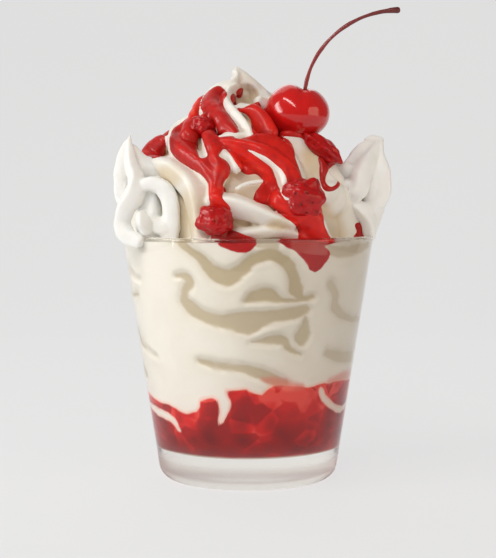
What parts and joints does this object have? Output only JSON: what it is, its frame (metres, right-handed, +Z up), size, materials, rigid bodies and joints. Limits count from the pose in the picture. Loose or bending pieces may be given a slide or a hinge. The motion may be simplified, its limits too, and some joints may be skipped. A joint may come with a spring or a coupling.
{
  "type": "ice cream sundae",
  "caption": "Soft serve sundae in a tapered glass tumbler: strawberry layer, folded swirl with sauce and strawberry pieces, piped whipped cream and a stemmed cherry.",
  "frame": {"origin": "middle of the glass's foot, on the surface it stands on", "axes": "+Z up along the glass, +X towards the cherry's side, -Y to the front with the large strawberry piece"},
  "size_m": [0.0975, 0.0898, 0.1665],
  "materials": {
    "glass": "clear, polished, with a thick foot",
    "strawberry_sauce": "wet strawberry sauce with chunks of fruit",
    "soft_serve": "smooth satin vanilla soft serve",
    "whipped_cream": "soft satin whipped cream",
    "cherry": "glossy syrup skin",
    "cherry_stem": "satin stalk",
    "strawberry": "wet seeded fruit"
  },
  "bodies": {
    "root": {"glass": "glass", "strawberry_layer": "strawberry_sauce", "soft_serve": "soft_serve", "whipped_cream_left": "whipped_cream", "whipped_cream_right": "whipped_cream", "cherry": "cherry", "cherry_stem": "cherry_stem", "strawberry_piece_front": "strawberry", "strawberry_piece_left": "strawberry", "strawberry_piece_under_cherry": "strawberry", "strawberry_piece_upper": "strawberry"}
  },
  "joints": []
}
